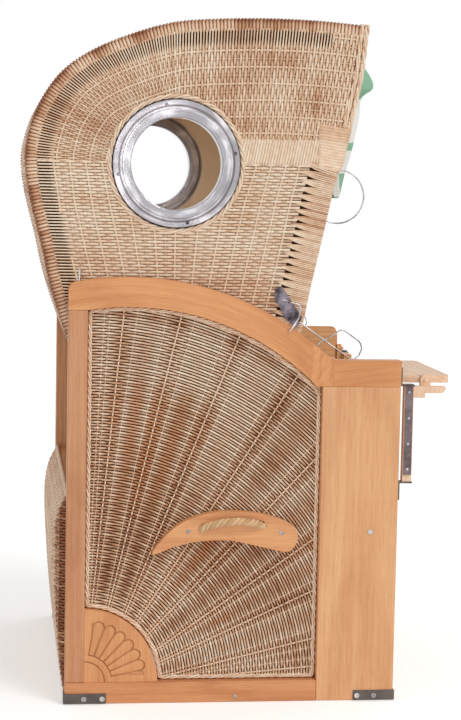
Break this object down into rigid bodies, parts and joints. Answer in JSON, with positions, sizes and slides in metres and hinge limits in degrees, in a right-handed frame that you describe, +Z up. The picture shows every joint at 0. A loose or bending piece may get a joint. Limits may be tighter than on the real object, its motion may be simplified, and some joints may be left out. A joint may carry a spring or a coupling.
{
  "type": "hooded beach chair",
  "caption": "Two-seat hooded beach chair: wooden side frames with woven panels, a tilting woven hood with portholes, pull-out footrests and folding side tables.",
  "frame": {"origin": "centre of the bounding box at floor level", "axes": "+Z up, the sitter faces -Y, -X is the sitter's right"},
  "size_m": [0.9856, 1.0097, 1.6032],
  "materials": {
    "teak": "oiled, satin, soft rounded edges",
    "wicker": "woven strands in mixed browns and creams, matte",
    "cushion_fabric": "woven fabric, matte",
    "lining_fabric": "flat woven lining, matte",
    "awning_fabric": "canvas with broad green stripes",
    "stainless": "bright stainless",
    "aluminium": "polished",
    "plate_steel": "dull grey-brown",
    "rope": "three-strand laid rope"
  },
  "bodies": {
    "base": {"rear_post_right": "teak", "rear_post_left": "teak", "top_rail_right": "teak", "top_rail_left": "teak", "front_board_right": "teak", "front_board_left": "teak", "bottom_rails": "teak", "corner_shells": "teak", "side_panel_right": "wicker", "side_panel_left": "wicker", "carry_handle_right": "teak", "carry_handle_left": "teak", "rope_grip_right": "rope", "rope_grip_left": "rope", "corner_plates": "plate_steel", "frame_bolts": "stainless", "seat_rail_right": "teak", "seat_rail_left": "teak", "cross_rails": "teak", "centre_divider": "teak", "seat_slats": "teak", "rear_panel": "wicker", "drawer_runners": "teak", "pivot_pins": "stainless", "rear_stop_pins": "stainless", "seat_cushion": "cushion_fabric", "table_brackets": "plate_steel"},
    "footrest_box_right": {"footrest_right": "teak", "footrest_panel_right": "wicker", "footrest_pull_right": "stainless"},
    "footrest_box_left": {"footrest_left": "teak", "footrest_panel_left": "wicker", "footrest_pull_left": "stainless"},
    "hood": {"hood_side_right": "wicker", "hood_side_left": "wicker", "hood_shell": "wicker", "hood_rim": "wicker", "hood_frame_right": "teak", "hood_frame_left": "teak", "hood_cross_bars": "teak", "backrest_board": "teak", "side_lining_right": "lining_fabric", "side_lining_left": "lining_fabric", "back_lining": "lining_fabric", "back_cushion": "cushion_fabric", "porthole_right": "aluminium", "porthole_left": "aluminium", "porthole_inner_rings": "aluminium", "hood_fittings": "stainless", "awning_cloth": "awning_fabric"},
    "lever_right": {"latch_lever_right": "stainless"},
    "lever_left": {"latch_lever_left": "stainless"},
    "bail_right": {"wire_bail_right": "stainless"},
    "bail_left": {"wire_bail_left": "stainless"},
    "bow": {"awning_bow": "aluminium"},
    "ring": {"towel_ring": "stainless"},
    "table_arm_right": {"side_table_right": "teak"},
    "table_top_right": {"table_leaf_right": "teak"},
    "table_left": {"side_table_left": "teak", "table_leaf_left": "teak"}
  },
  "joints": [
    {"name": "footrest_slide_right", "type": "slide", "parent": "base", "child": "footrest_box_right", "axis": [0, -1, 0], "range_m": [0, 0.3]},
    {"name": "footrest_slide_left", "type": "slide", "parent": "base", "child": "footrest_box_left", "axis": [0, -1, 0], "range_m": [0, 0.3]},
    {"name": "hood_tilt", "type": "hinge", "parent": "base", "child": "hood", "pos_m": [0, 0.21, 0.396], "axis": [-1, 0, 0], "range_deg": [0, 30]},
    {"name": "latch_lever_turn_right", "type": "hinge", "parent": "hood", "child": "lever_right", "pos_m": [-0.42, -0.114, 0.948], "axis": [1, 0, 0], "range_deg": [-40, 40]},
    {"name": "latch_lever_turn_left", "type": "hinge", "parent": "hood", "child": "lever_left", "pos_m": [0.42, -0.114, 0.948], "axis": [1, 0, 0], "range_deg": [-40, 40]},
    {"name": "wire_bail_lift_right", "type": "hinge", "parent": "hood", "child": "bail_right", "pos_m": [-0.4043, -0.142, 0.899], "axis": [-1, 0, 0], "range_deg": [0, 50]},
    {"name": "wire_bail_lift_left", "type": "hinge", "parent": "hood", "child": "bail_left", "pos_m": [0.4043, -0.142, 0.899], "axis": [-1, 0, 0], "range_deg": [0, 50]},
    {"name": "awning_lift", "type": "hinge", "parent": "hood", "child": "bow", "pos_m": [0, -0.222, 1.395], "axis": [-1, 0, 0], "range_deg": [0, 100], "deforming": ["awning_cloth"]},
    {"name": "towel_ring_swing", "type": "hinge", "parent": "hood", "child": "ring", "pos_m": [-0.36375, -0.2, 1.258], "axis": [0, -1, 0], "range_deg": [0, 45]},
    {"name": "table_swing_right", "type": "hinge", "parent": "base", "child": "table_arm_right", "pos_m": [-0.436, -0.405, 0.64], "axis": [0, 0, 1], "range_deg": [-90, 0]},
    {"name": "table_tilt_right", "type": "hinge", "parent": "table_arm_right", "child": "table_top_right", "pos_m": [-0.3, -0.4485, 0.766], "axis": [1, 0, 0], "range_deg": [0, 90]},
    {"name": "table_swing_left", "type": "hinge", "parent": "base", "child": "table_left", "pos_m": [0.436, -0.405, 0.64], "axis": [0, 0, 1], "range_deg": [0, 180]}
  ]
}
